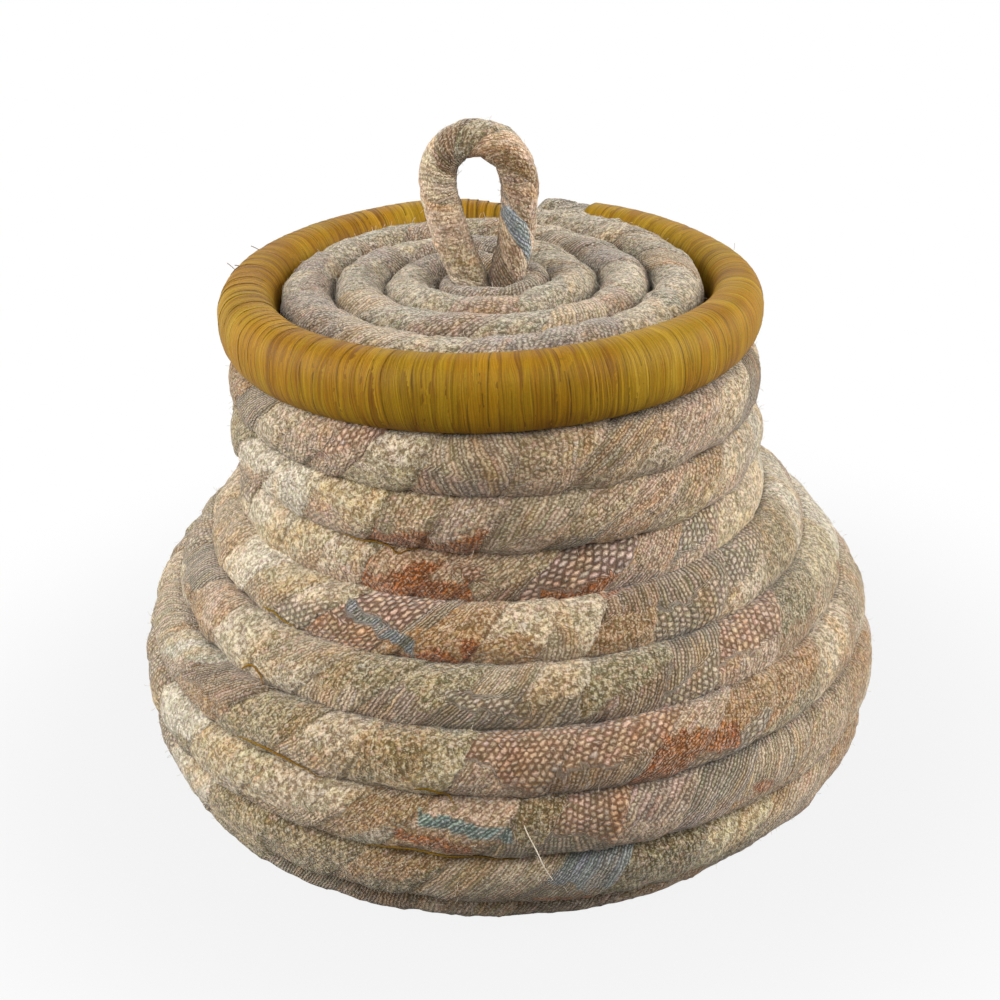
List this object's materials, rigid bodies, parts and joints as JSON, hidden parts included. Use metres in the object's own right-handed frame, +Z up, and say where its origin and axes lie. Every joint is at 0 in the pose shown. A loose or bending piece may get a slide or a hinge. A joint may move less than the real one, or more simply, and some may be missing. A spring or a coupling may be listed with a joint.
{
  "type": "lidded coiled basket",
  "caption": "Squat coiled basket of fabric-wrapped cord with an upright neck and a lift-off coiled lid that has a raffia-wrapped rim and a loop handle.",
  "frame": {"origin": "middle of the basket's footprint, on the surface that it stands on", "axes": "+Z up along the basket and the lid's lift; the front of the picture faces -Y and the handle's loop spans X"},
  "size_m": [0.2138, 0.2136, 0.1899],
  "materials": {
    "body_wrap": "strips of woven upholstery fabric wrapped round cord, beige with patches of rust, rose and blue-grey, matte",
    "lid_wrap": "strips of pale woven fabric wrapped round cord, sage and cream with mauve and rose flecks, matte",
    "raffia_wrap": "ochre raffia strands wound side by side, satin sheen",
    "handle_wrap": "strips of brown and pink woven fabric wrapped round cord, matte"
  },
  "bodies": {
    "basket": {"base_coil": "body_wrap", "belly_coil": "body_wrap", "shoulder_coil": "body_wrap", "neck_coil": "body_wrap"},
    "lid": {"lid_coil": "lid_wrap", "lid_raffia_rim": "raffia_wrap", "lid_cord_tail": "lid_wrap", "lid_locating_coil": "lid_wrap", "lid_handle": "handle_wrap"}
  },
  "joints": [
    {"name": "lid_lift", "type": "slide", "parent": "basket", "child": "lid", "axis": [0, 0, 1], "range_m": [0, 0.06]}
  ]
}
